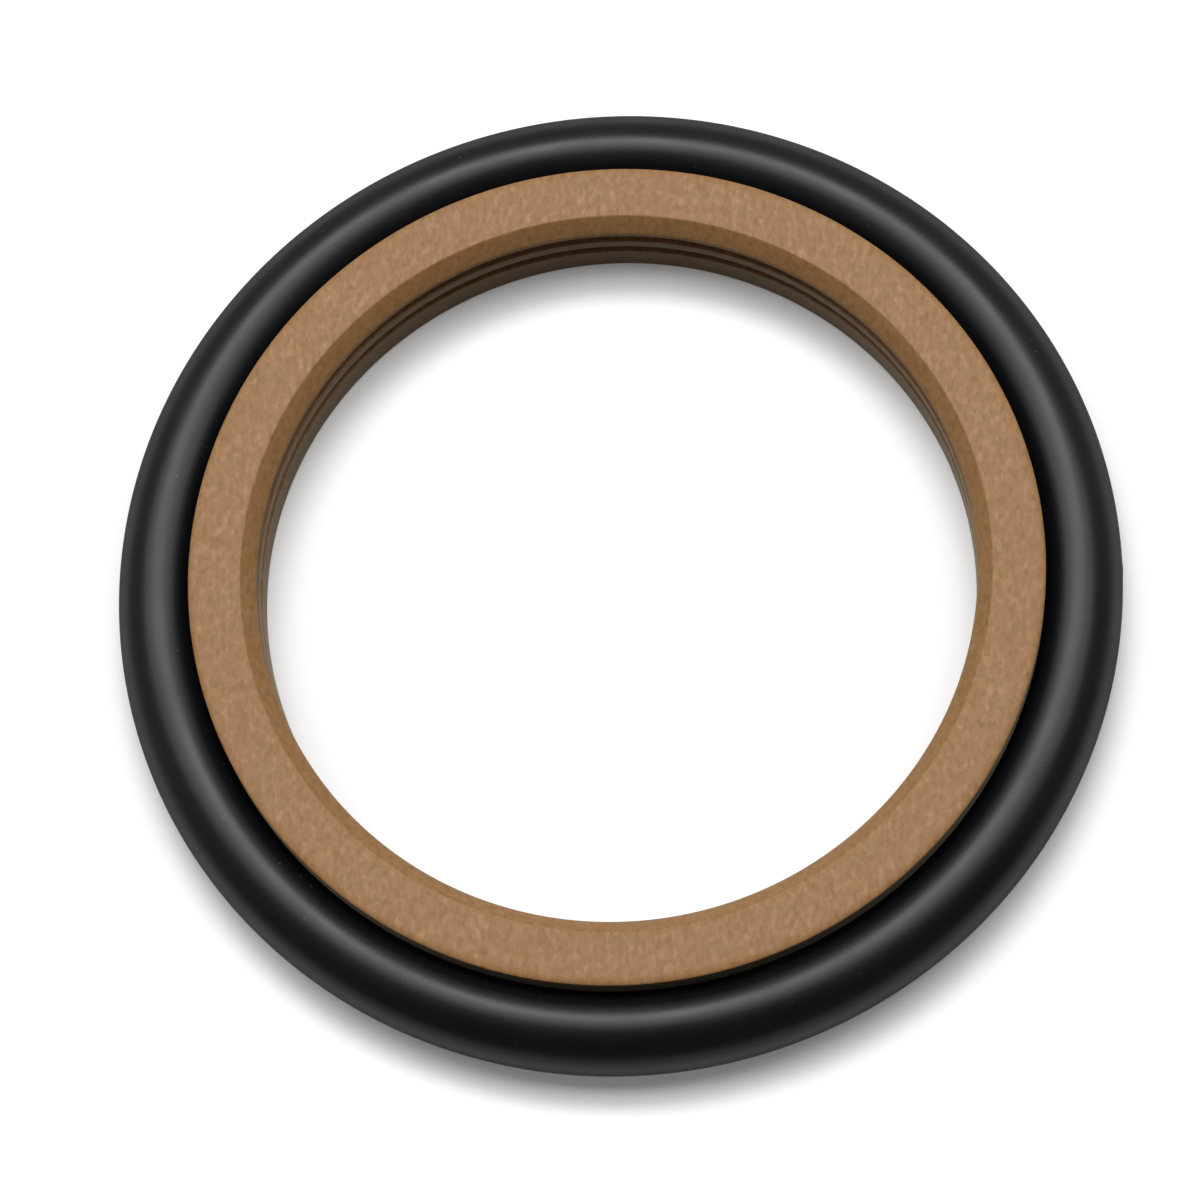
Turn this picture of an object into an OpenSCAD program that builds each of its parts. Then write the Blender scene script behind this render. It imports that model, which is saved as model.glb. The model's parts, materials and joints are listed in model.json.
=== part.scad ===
// Hydraulic buffer seal for a rod: a turned seal ring and the O-ring that presses it inwards.
// It stands on its back face, with the rod's axis along Z and the pressure side up.

/* [Rod] */
// Diameter of the rod that the seal runs on
rod_d = 45; // [40:0.5:60]

/* [Seal ring] */
// Thickness of the seal ring, from the rod to its outer wall
ring_t = 4.2; // [3.6:0.1:5]
// Height of the seal ring along the rod
ring_h = 6; // [5.5:0.1:7]
// Width of the break on the ring's two outer corners
corner_break = 0.15; // [0.1:0.05:0.3]

/* [Bevel] */
// Width of the bevel on the pressure side, across the face
bevel_w = 0.92; // [0.6:0.02:1.5]
// Depth of the bevel, along the rod
bevel_h = 1; // [0.6:0.05:1.3]

/* [Bore] */
// Height of the sealing lip, the narrow land under the bevel
lip_h = 0.25; // [0.1:0.05:0.5]
// Number of oil grooves turned into the bore
groove_count = 2; // [1:1:2]
// Height of one oil groove
groove_h = 0.85; // [0.6:0.05:1]
// Depth of an oil groove behind the rod's surface
groove_depth = 0.4; // [0.2:0.05:0.8]
// Height of the land between two oil grooves
land_h = 0.8; // [0.5:0.05:1]
// Width and height of the chamfer where the bore leaves the back face
lead_in = 0.2; // [0.1:0.05:0.4]

/* [O-ring] */
// Thickness of the O-ring's round section
cord_d = 5.33; // [4.5:0.01:6.5]
// Depth of the hollow seat that the O-ring lies in, in the ring's outer wall
seat_depth = 0.5; // [0.3:0.05:0.8]
// Gap left between the O-ring and its seat
seat_gap = 0.02; // [0.01:0.01:0.1]

/* [Hidden] */
$fn = 96;

bore_r = rod_d / 2;
ring_r = bore_r + ring_t;

cord_r = cord_d / 2;
seat_r = cord_r + seat_gap;
// The O-ring's underside is level with the ring's back face
cord_z = cord_r;
cord_centre_r = ring_r - seat_depth + seat_r;

// Where the lip ends and the first groove begins
lip_z = ring_h - bevel_h - lip_h;
groove_pitch = groove_h + land_h;
groove_mouth = 1;

// One side of the ring as it is turned: bevel at the top of the bore, chamfer at its foot
module ring_blank() {
    polygon([
        [bore_r + lead_in, 0],
        [ring_r - corner_break, 0],
        [ring_r, corner_break],
        [ring_r, ring_h - corner_break],
        [ring_r - corner_break, ring_h],
        [bore_r + bevel_w, ring_h],
        [bore_r, ring_h - bevel_h],
        [bore_r, lead_in]
    ]);
}

// Oil grooves, cut from the lip down, with a land between each two
module oil_grooves() {
    for (i = [0 : groove_count - 1])
        translate([bore_r - groove_mouth, lip_z - groove_h - i * groove_pitch])
            square([groove_mouth + groove_depth, groove_h]);
}

// A round of the given radius where the O-ring's section lies
module cord_section(r) {
    translate([cord_centre_r, cord_z])
        circle(r);
}

// Seal ring of bronze-filled PTFE, turned from tube in one piece
module seal_ring() {
    color("#a27f5f")
        rotate_extrude()
            difference() {
                ring_blank();
                oil_grooves();
                cord_section(seat_r);
            }
}

// O-ring of black nitrile rubber, moulded, stretched over the seal ring into its seat
module o_ring() {
    color("#17191b")
        rotate_extrude()
            cord_section(cord_r);
}

seal_ring();
o_ring();
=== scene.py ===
# Hydraulic buffer seal, standing on its back face with the pressure side up: a turned ring of
# bronze-filled PTFE, and the rubber O-ring that presses it onto the rod. Metres, rod's axis along Z.
import json
import math

import bpy
from mathutils import Euler, Matrix, Vector


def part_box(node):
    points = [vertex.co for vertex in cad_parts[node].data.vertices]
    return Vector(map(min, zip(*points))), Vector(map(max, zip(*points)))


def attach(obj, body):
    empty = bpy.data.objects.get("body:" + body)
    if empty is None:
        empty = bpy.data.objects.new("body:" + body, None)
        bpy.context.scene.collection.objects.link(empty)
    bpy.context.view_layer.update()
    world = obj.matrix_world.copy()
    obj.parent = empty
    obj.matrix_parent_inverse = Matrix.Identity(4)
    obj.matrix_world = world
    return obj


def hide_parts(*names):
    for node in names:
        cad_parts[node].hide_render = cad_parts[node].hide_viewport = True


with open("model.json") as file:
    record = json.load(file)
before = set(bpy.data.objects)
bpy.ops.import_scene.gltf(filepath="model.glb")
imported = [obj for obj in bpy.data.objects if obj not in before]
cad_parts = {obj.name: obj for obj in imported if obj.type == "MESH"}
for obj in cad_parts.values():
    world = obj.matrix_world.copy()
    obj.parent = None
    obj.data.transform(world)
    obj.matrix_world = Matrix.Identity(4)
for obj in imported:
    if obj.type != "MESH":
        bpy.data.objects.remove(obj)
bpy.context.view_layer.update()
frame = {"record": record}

MM = 0.001

# Seal ring: the piece that runs on the rod. It is turned on a lathe from a tube of bronze-filled PTFE:
# a bevel on the pressure side, a narrow lip under it, two oil grooves in the bore, and a hollow round
# the outer wall where the O-ring sits. The tool leaves its corners crisp and its faces matt.
ring_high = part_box("seal_ring")[1]
ring_radius = ring_high.x
ring_height = ring_high.z
rod_bore = next(mount for mount in frame["record"]["mounts"] if mount["name"] == "rod_bore")
bore_radius = rod_bore["dims"]["r_mm"] * MM
bore_foot = rod_bore["pos_m"][2] - rod_bore["dims"]["length_mm"] * MM / 2
lip_top = rod_bore["pos_m"][2] + rod_bore["dims"]["length_mm"] * MM / 2
bevel_width = 0.92 * MM
lip_height = 0.25 * MM
groove_count = 2
groove_height = 0.85 * MM
groove_depth = 0.4 * MM
land_height = 0.8 * MM
corner_break = 0.15 * MM

# The O-ring's section sets the seat
cord_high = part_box("o_ring")[1]
cord_radius = cord_high.z / 2
cord_centre_radius = cord_high.x - cord_radius
seat_radius = cord_radius + 0.02 * MM
seat_half_angle = math.acos((cord_centre_radius - ring_radius) / seat_radius)

# How far each corner is rounded by the tool, and how fine the arcs and turns are. The face rolls off
# gently towards its outer edge, where it is dressed by hand.
crisp = 0.03 * MM
eased = 0.09 * MM
worn = 0.2 * MM
roll_width = 0.6 * MM
roll_drop = 0.18 * MM
corner_steps = 4
roll_steps = 12
seat_steps = 24
ring_turns = 512


def rounded(outline):
    """An outline of (radius, height, trim) points with each corner cut back by its trim and curved."""
    points = []
    for i, (r, z, trim) in enumerate(outline):
        corner = Vector((r, z))
        if trim == 0:
            points.append(corner)
            continue
        before = Vector(outline[i - 1][:2])
        after = Vector(outline[(i + 1) % len(outline)][:2])
        start = corner + (before - corner).normalized() * trim
        end = corner + (after - corner).normalized() * trim
        for step in range(corner_steps + 1):
            s = step / corner_steps
            points.append(start * (1 - s) ** 2 + corner * 2 * s * (1 - s) + end * s ** 2)
    return points


def turned(name, outline, turns):
    """A solid of revolution about the rod's axis, from a closed outline of (radius, height) points."""
    vertices = []
    faces = []
    count = len(outline)
    for turn in range(turns):
        angle = math.tau * turn / turns
        for r, z in outline:
            vertices.append((r * math.cos(angle), r * math.sin(angle), z))
        here = turn * count
        there = (turn + 1) % turns * count
        for i in range(count):
            j = (i + 1) % count
            faces.append((here + i, there + i, there + j, here + j))
    mesh = bpy.data.meshes.new(name)
    mesh.from_pydata(vertices, [], faces)
    mesh.shade_smooth()
    piece = bpy.data.objects.new(name, mesh)
    bpy.context.scene.collection.objects.link(piece)
    return piece


ring_outline = [
    (bore_radius + bore_foot, 0, crisp),
    (ring_radius - corner_break, 0, crisp),
    (ring_radius, corner_break, crisp),
]
for step in range(seat_steps + 1):
    angle = math.pi + seat_half_angle * (1 - 2 * step / seat_steps)
    seat_r = cord_centre_radius + seat_radius * math.cos(angle)
    seat_z = cord_radius + seat_radius * math.sin(angle)
    ring_outline.append((seat_r, seat_z, crisp if step in (0, seat_steps) else 0))
for step in range(roll_steps + 1):
    angle = math.pi / 2 * step / roll_steps
    roll_r = ring_radius - roll_width * (1 - math.cos(angle))
    roll_z = ring_height - roll_drop * (1 - math.sin(angle))
    ring_outline.append((roll_r, roll_z, 0))
ring_outline += [
    (bore_radius + bevel_width, ring_height, eased),
    (bore_radius, lip_top, worn),
]
for groove in range(groove_count):
    groove_top = lip_top - lip_height - groove * (groove_height + land_height)
    ring_outline += [
        (bore_radius, groove_top, crisp),
        (bore_radius + groove_depth, groove_top, crisp),
        (bore_radius + groove_depth, groove_top - groove_height, crisp),
        (bore_radius, groove_top - groove_height, crisp),
    ]
ring_outline.append((bore_radius, bore_foot, crisp))

seal_ring = turned("seal_ring_turned", rounded(ring_outline), ring_turns)
flats_stay_flat = seal_ring.modifiers.new("flats_stay_flat", "WEIGHTED_NORMAL")
flats_stay_flat.weight = 100


def colour(hex_value):
    """The linear colour of an sRGB hex value, with an alpha of 1."""
    linear = []
    for start in (1, 3, 5):
        c = int(hex_value[start:start + 2], 16) / 255
        linear.append(c / 12.92 if c <= 0.04045 else ((c + 0.055) / 1.055) ** 2.4)
    return (*linear, 1)


def add(material, kind, inputs=None, output=0, **settings):
    """Adds a node and returns one of its outputs. Inputs are values or other outputs, by socket."""
    made = material.node_tree.nodes.new(kind)
    for name, value in settings.items():
        setattr(made, name, value)
    for socket, value in (inputs or {}).items():
        if isinstance(value, bpy.types.NodeSocket):
            material.node_tree.links.new(value, made.inputs[socket])
        else:
            made.inputs[socket].default_value = value
    return made.outputs[output] if made.outputs else made


# The sockets of a Mix node that mixes colours: share, first, second and result
SHARE, FIRST, SECOND, RESULT = 0, 6, 7, 2

# Bronze-filled PTFE: a soft brown plastic, pressed and sintered from PTFE powder and bronze powder.
# The cut surface is matt, with grains of bronze that glint a little and darker pores between them.
ptfe = bpy.data.materials.new("bronze_filled_ptfe")
ptfe.use_nodes = True
ptfe.node_tree.nodes.clear()
ptfe_brown = colour("#8b663d")
ptfe_red_brown = colour("#8b643d")
ptfe_shade = colour("#7e5a30")
bronze_grain = colour("#a17e5b")
pore_brown = colour("#684216")
# Painted shade: a dark brown for the upright walls, and a near-black for the outer wall
painted_wall_shade = colour("#5a452c")
outer_wall_painted_shade = colour("#21150d")
sheen_khaki = colour("#e8dcc0")

# The powder lies a little drawn out in one direction
place = add(ptfe, "ShaderNodeTexCoord", output="Object")
drawn_out = 1.9
drawn_turn = math.radians(-13)
drawn = add(ptfe, "ShaderNodeMapping", {
    "Vector": place,
    "Rotation": Euler((0, 0, drawn_turn)),
    "Scale": (MM, MM * drawn_out, MM),
}, vector_type="TEXTURE")

# Sizes of the pattern in mm. Real bronze powder is about 0.05 mm, drawn coarser here so that it shows
cloud_mm = 3.0
powder_mm = 0.33
grain_mm = 0.34
pore_mm = 0.4
cloud = add(ptfe, "ShaderNodeTexNoise", {"Vector": drawn, "Scale": 1 / cloud_mm, "Detail": 2})
powder = add(ptfe, "ShaderNodeTexNoise", {"Vector": drawn, "Scale": 1 / powder_mm, "Detail": 3})
grain = add(ptfe, "ShaderNodeTexNoise", {
    "Vector": drawn, "Scale": 1 / grain_mm, "Detail": 1, "Distortion": 0.3})
pores = add(ptfe, "ShaderNodeTexNoise", {
    "Vector": drawn, "Scale": 1 / pore_mm, "Detail": 1, "Distortion": 0.3})

cloud_share = add(ptfe, "ShaderNodeMapRange", {"Value": cloud, "From Min": 0.38, "From Max": 0.62})
brown = add(ptfe, "ShaderNodeMix", {
    SHARE: cloud_share, FIRST: ptfe_brown, SECOND: ptfe_red_brown}, RESULT, data_type="RGBA")
shade_share = add(ptfe, "ShaderNodeMapRange", {"Value": powder, "From Min": 0.58, "From Max": 0.32})
shaded = add(ptfe, "ShaderNodeMix", {
    SHARE: shade_share, FIRST: brown, SECOND: ptfe_shade}, RESULT, data_type="RGBA")
grain_share = add(ptfe, "ShaderNodeMapRange", {
    "Value": grain, "From Min": 0.5, "From Max": 0.8, "To Max": 0.34})
grained = add(ptfe, "ShaderNodeMix", {
    SHARE: grain_share, FIRST: shaded, SECOND: bronze_grain}, RESULT, data_type="RGBA")
pore_share = add(ptfe, "ShaderNodeMapRange", {
    "Value": pores, "From Min": 0.57, "From Max": 0.8, "To Max": 0.4})
cut_face = add(ptfe, "ShaderNodeMix", {
    SHARE: pore_share, FIRST: grained, SECOND: pore_brown}, RESULT, data_type="RGBA")

# The bore and the outer wall are cut along the rod, across the pressing, so they are more matt than the faces.
# Their colour is also darkened towards a dark brown, as painted shade for the shade that these upright walls
# stand in
normal = add(ptfe, "ShaderNodeNewGeometry", output="True Normal")
leaning = add(ptfe, "ShaderNodeSeparateXYZ", {"Vector": normal}, "Z")
facing = add(ptfe, "ShaderNodeMath", {0: leaning}, operation="ABSOLUTE")
wall_share = add(ptfe, "ShaderNodeMapRange", {"Value": facing, "From Min": 0.5, "From Max": 0.1, "To Max": 0.85})
walled = add(ptfe, "ShaderNodeMix", {
    SHARE: wall_share, FIRST: cut_face, SECOND: painted_wall_shade}, RESULT, data_type="RGBA")

# Painted shade: the outer wall, which stands in shade beside the O-ring, is darkened further towards near-black
flat_place = add(ptfe, "ShaderNodeVectorMath", {0: place, 1: (1, 1, 0)}, operation="MULTIPLY")
axis_distance = add(ptfe, "ShaderNodeVectorMath", {0: flat_place}, "Value", operation="LENGTH")
outer_half = add(ptfe, "ShaderNodeMath", {
    0: axis_distance, 1: (bore_radius + ring_radius) / 2}, operation="GREATER_THAN")
outer_wall_shade_share = add(ptfe, "ShaderNodeMath", {0: wall_share, 1: outer_half}, operation="MULTIPLY")
cut_surface = add(ptfe, "ShaderNodeMix", {
    SHARE: outer_wall_shade_share, FIRST: walled, SECOND: outer_wall_painted_shade}, RESULT, data_type="RGBA")

# Bronze is metal, but each grain is half smeared over with plastic by the tool
metal_share = add(ptfe, "ShaderNodeMath", {0: grain_share, 1: 0.3}, operation="MULTIPLY")
grain_gloss = add(ptfe, "ShaderNodeMapRange", {
    "Value": grain_share, "From Max": 0.75, "To Min": 0.55, "To Max": 0.44})
matt_share = add(ptfe, "ShaderNodeMapRange", {
    "Value": facing, "From Min": 0.5, "From Max": 0.1, "To Min": 1, "To Max": 1.2})
roughness = add(ptfe, "ShaderNodeMath", {0: grain_gloss, 1: matt_share}, operation="MULTIPLY")

# Turning marks: rings round the axis, at the feed of a finishing cut
feed_mm = 0.12
wave_rings_per_unit = 20 / math.tau
in_mm = add(ptfe, "ShaderNodeMapping", {"Vector": place, "Scale": (MM, MM, MM)}, vector_type="TEXTURE")
turning = add(ptfe, "ShaderNodeTexWave", {
    "Vector": in_mm, "Scale": 1 / (feed_mm * wave_rings_per_unit), "Distortion": 0.6,
    "Detail": 1, "Detail Scale": 2,
}, "Fac", wave_type="RINGS", rings_direction="Z")
turned_bump = add(ptfe, "ShaderNodeBump", {
    "Height": turning, "Strength": 0.10, "Distance": 0.004 * MM})
powder_strength = add(ptfe, "ShaderNodeMapRange", {
    "Value": facing, "From Min": 0.5, "From Max": 0.1, "To Min": 0.5, "To Max": 0.1})
powder_bump = add(ptfe, "ShaderNodeBump", {
    "Height": powder, "Strength": powder_strength, "Distance": 0.02 * MM, "Normal": turned_bump})
ptfe_shader = add(ptfe, "ShaderNodeBsdfPrincipled", {
    "Base Color": cut_surface, "Metallic": metal_share, "Roughness": roughness,
    "IOR": 1.37, "Sheen Weight": 0.25, "Sheen Roughness": 0.4, "Sheen Tint": sheen_khaki,
    "Normal": powder_bump})
add(ptfe, "ShaderNodeOutputMaterial", {"Surface": ptfe_shader})

seal_ring.data.materials.append(ptfe)
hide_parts("seal_ring")
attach(seal_ring, "root")

# O-ring: the spring of the seal. It is compression moulded from black nitrile rubber and stretched over
# the seal ring into its hollow. Where the two halves of the mould met, a fine parting line runs round
# the outside, with one small nib of flash left on it.
cord_turns = 512
cord_sides = 160
parting_height = 0.005 * MM
parting_width = math.radians(3)
nib_angle = math.radians(-11.6)
nib_height = 0.07 * MM
nib_width = 0.20 * MM

cord_outline = []
for side in range(cord_sides):
    angle = math.tau * side / cord_sides
    from_parting = min(angle, math.tau - angle)
    r = cord_radius + parting_height * math.exp(-(from_parting / parting_width) ** 2)
    cord_outline.append((cord_centre_radius + r * math.cos(angle), cord_radius + r * math.sin(angle)))
o_ring = turned("o_ring_moulded", cord_outline, cord_turns)

nib = Vector((cord_high.x * math.cos(nib_angle), cord_high.x * math.sin(nib_angle), cord_radius))
for vertex in o_ring.data.vertices:
    rise = nib_height * math.exp(-((vertex.co - nib).length / nib_width) ** 2)
    vertex.co += Vector((math.cos(nib_angle), math.sin(nib_angle), 0)) * rise

# Nitrile rubber: filled with carbon black, so nearly all that the eye gets is the sheen of its skin,
# which has the satin of the mould, a touch uneven, with a few specks of dust on it.
rubber = bpy.data.materials.new("moulded_nitrile_rubber")
rubber.use_nodes = True
rubber.node_tree.nodes.clear()
rubber_black = colour("#090a0c")
dust_grey = colour("#4a4c4c")

place = add(rubber, "ShaderNodeTexCoord", output="Object")
in_mm = add(rubber, "ShaderNodeMapping", {"Vector": place, "Scale": (MM, MM, MM)}, vector_type="TEXTURE")
bloom_mm = 5.0
skin_mm = 0.25
dust_mm = 1.1
bloom = add(rubber, "ShaderNodeTexNoise", {"Vector": in_mm, "Scale": 1 / bloom_mm, "Detail": 3})
skin = add(rubber, "ShaderNodeTexNoise", {"Vector": in_mm, "Scale": 1 / skin_mm, "Detail": 3})
dust = add(rubber, "ShaderNodeTexNoise", {"Vector": in_mm, "Scale": 1 / dust_mm * 4, "Detail": 0})
dust_share = add(rubber, "ShaderNodeMapRange", {
    "Value": dust, "From Min": 0.84, "From Max": 0.9, "To Max": 0.5})
rubber_skin = add(rubber, "ShaderNodeMix", {
    SHARE: dust_share, FIRST: rubber_black, SECOND: dust_grey}, RESULT, data_type="RGBA")
satin = add(rubber, "ShaderNodeMapRange", {
    "Value": bloom, "From Min": 0.3, "From Max": 0.7, "To Min": 0.3, "To Max": 0.36})

# At a glancing angle the fine texture of the skin spreads its sheen more widely
facing = add(rubber, "ShaderNodeLayerWeight", {"Blend": 0.5}, "Facing")
spread = add(rubber, "ShaderNodeMapRange", {
    "Value": facing, "From Min": 0.4, "From Max": 0.75, "To Min": 0, "To Max": 0.35})
satin = add(rubber, "ShaderNodeMath", {0: satin, 1: spread}, operation="ADD")
skin_bump = add(rubber, "ShaderNodeBump", {"Height": skin, "Strength": 0.15, "Distance": 0.005 * MM})
rubber_shader = add(rubber, "ShaderNodeBsdfPrincipled", {
    "Base Color": rubber_skin, "Roughness": satin, "IOR": 1.3, "Normal": skin_bump})
add(rubber, "ShaderNodeOutputMaterial", {"Surface": rubber_shader})

o_ring.data.materials.append(rubber)
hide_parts("o_ring")
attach(o_ring, "root")

# Floor: a plain white sheet on the table, wide enough to fill any view from above. What the camera
# and reflections see is white, with a faint glow of its own that softens the shadow, and what it
# throws back up as light is grey, so that the hollows of the object keep their depth.
floor_half = 4.0
bpy.ops.mesh.primitive_plane_add(size=2 * floor_half)
floor = bpy.context.object
floor.name = "floor"
paper = bpy.data.materials.new("white_paper")
paper.use_nodes = True
paper.node_tree.nodes.clear()
paper_seen = (0.825, 0.825, 0.825, 1)
paper_glow = 0.11
paper_thrown_back = (0.2, 0.2, 0.2, 1)
rays = add(paper, "ShaderNodeLightPath", output="Is Camera Ray").node
seen = add(paper, "ShaderNodeMath", {
    0: rays.outputs["Is Camera Ray"], 1: rays.outputs["Is Glossy Ray"]}, operation="MAXIMUM")
seen = add(paper, "ShaderNodeMath", {
    0: seen, 1: rays.outputs["Is Transmission Ray"]}, operation="MAXIMUM")
white = add(paper, "ShaderNodeMix", {
    SHARE: seen, FIRST: paper_thrown_back, SECOND: paper_seen}, RESULT, data_type="RGBA")
lit_paper = add(paper, "ShaderNodeBsdfDiffuse", {"Color": white})
glow_seen = add(paper, "ShaderNodeMath", {0: seen, 1: paper_glow}, operation="MULTIPLY")
glowing_paper = add(paper, "ShaderNodeEmission", {"Strength": glow_seen})
paper_shader = add(paper, "ShaderNodeAddShader", {0: lit_paper, 1: glowing_paper})
paper.cycles.emission_sampling = "NONE"
add(paper, "ShaderNodeOutputMaterial", {"Surface": paper_shader})
floor.data.materials.append(paper)

# Light: one wide softbox above and behind the object, in a dim grey room. Its lamp shows through the
# cloth as a brighter patch towards the back. The camera and reflections see a pale wall behind the
# object and at its sides, which lights it a little, and a dark side where the camera stands.
softbox_distance = 1.8
softbox_turn = math.radians(-15)
softbox_width = 2.6
softbox_depth = 0.9
softbox_back = math.radians(16)
softbox_right = math.radians(2)
softbox_power = 30.5
patch_width = 0.9
patch_depth = 0.45
patch_back = math.radians(27)
patch_right = math.radians(3)
patch_power = 12.5
room_grey = (0.14, 0.14, 0.14, 1)
pale_wall = (0.6, 0.6, 0.6, 1)
wall_light = 0.3


def stand(name, data, place, right, back):
    """Stands a lamp or a camera at a place, looking away from back, with its right side near right."""
    up = back.cross(right).normalized()
    right = up.cross(back)
    thing = bpy.data.objects.new(name, data)
    thing.matrix_world = Matrix.Translation(place) @ Matrix((right, up, back)).transposed().to_4x4()
    bpy.context.scene.collection.objects.link(thing)
    return thing


def area_light(name, width, depth, back, right, power):
    """A rectangle of light over the object, leaning back and to the right, turned like the softbox."""
    light = bpy.data.lights.new(name, "AREA")
    light.shape = "RECTANGLE"
    light.size = width
    light.size_y = depth
    light.energy = power
    away = Vector((math.tan(right), math.tan(back), 1)).normalized()
    long_side = Vector((math.cos(softbox_turn), math.sin(softbox_turn), 0))
    stand(name, light, away * softbox_distance, long_side, away)


area_light("softbox", softbox_width, softbox_depth, softbox_back, softbox_right, softbox_power)
area_light("lamp_patch", patch_width, patch_depth, patch_back, patch_right, patch_power)

room = bpy.data.worlds.new("dim_room")
room.use_nodes = True
room.node_tree.nodes.clear()
looking = add(room, "ShaderNodeTexCoord", output="Generated")
to_the_back = add(room, "ShaderNodeSeparateXYZ", {"Vector": looking}, "Y")
wall_share = add(room, "ShaderNodeMapRange", {"Value": to_the_back, "From Min": -0.45, "From Max": 0.15})
rays = add(room, "ShaderNodeLightPath", output="Is Camera Ray").node
seen = add(room, "ShaderNodeMath", {
    0: rays.outputs["Is Camera Ray"], 1: rays.outputs["Is Glossy Ray"]}, operation="MAXIMUM")
seen = add(room, "ShaderNodeMath", {
    0: seen, 1: rays.outputs["Is Transmission Ray"]}, operation="MAXIMUM")
wall_strength = add(room, "ShaderNodeMapRange", {"Value": seen, "To Min": wall_light})
wall_seen = add(room, "ShaderNodeMath", {0: wall_share, 1: wall_strength}, operation="MULTIPLY")
room_colour = add(room, "ShaderNodeMix", {
    SHARE: wall_seen, FIRST: room_grey, SECOND: pale_wall}, RESULT, data_type="RGBA")
room_light = add(room, "ShaderNodeBackground", {"Color": room_colour})
add(room, "ShaderNodeOutputWorld", {"Surface": room_light})
bpy.context.scene.world = room

# Camera: a long lens high over the front of the seal, leaning 18 degrees from straight above and
# turned a little, as the photograph was taken. It is placed from the middle of the top face.
lens_mm = 135.45
sensor_mm = 36
camera_distance = 280.35 * MM
camera_tilt = math.radians(18.309)
camera_roll = math.radians(12.396)
aim_right = 0.88 * MM
aim_up = 2.195 * MM
back = Vector((0, -math.sin(camera_tilt), math.cos(camera_tilt)))
level_right = Vector((1, 0, 0))
level_up = back.cross(level_right)
right = level_right * math.cos(camera_roll) - level_up * math.sin(camera_roll)
up = level_right * math.sin(camera_roll) + level_up * math.cos(camera_roll)
top_middle = Vector((0, 0, ring_height))
lens = bpy.data.cameras.new("camera")
lens.sensor_width = sensor_mm
lens.lens = lens_mm
camera_place = top_middle + back * camera_distance - right * aim_right - up * aim_up
bpy.context.scene.camera = stand("camera", lens, camera_place, right, back)
bpy.context.scene.view_settings.view_transform = "Standard"
